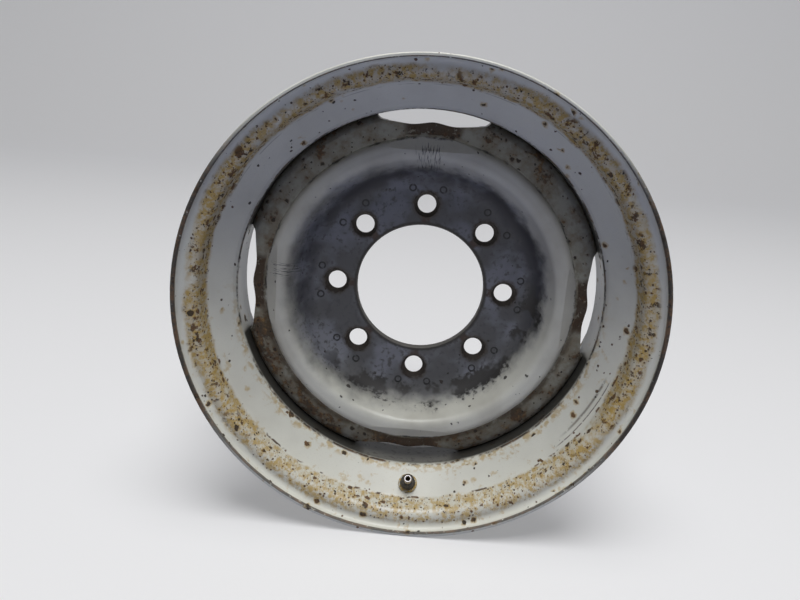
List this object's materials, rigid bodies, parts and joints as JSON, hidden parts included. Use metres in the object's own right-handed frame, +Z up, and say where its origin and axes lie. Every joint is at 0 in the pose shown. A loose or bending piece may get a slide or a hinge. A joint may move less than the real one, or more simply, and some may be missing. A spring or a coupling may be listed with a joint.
{
  "type": "van wheel",
  "caption": "Painted steel van wheel without a tyre: a rolled drop-centre rim, a pressed dished disc welded into its well, vent windows between them and a snap-in rubber valve.",
  "frame": {"origin": "centre of the wheel, on its axis at the disc's hub face, which is also the middle of the rim's width", "axes": "+Y along the wheel's axis from the street side to the vehicle, +Z up with the valve at the bottom, +X to the right seen from the street side"},
  "size_m": [0.4401, 0.204, 0.4402],
  "materials": {
    "rim_paint": "satin white paint, pitted with rust along the lips and bead seats",
    "disc_paint": "satin grey-white paint, grimy at the bolt face and rusty on the outer cone",
    "weld_bead": "painted bead with rust",
    "valve_rubber": "dull, weathered",
    "valve_brass": "dull"
  },
  "bodies": {
    "root": {"rim": "rim_paint", "disc": "disc_paint", "weld_1": "weld_bead", "weld_2": "weld_bead", "weld_3": "weld_bead", "weld_4": "weld_bead", "valve_body": "valve_rubber", "valve_stem": "valve_brass"}
  },
  "joints": []
}
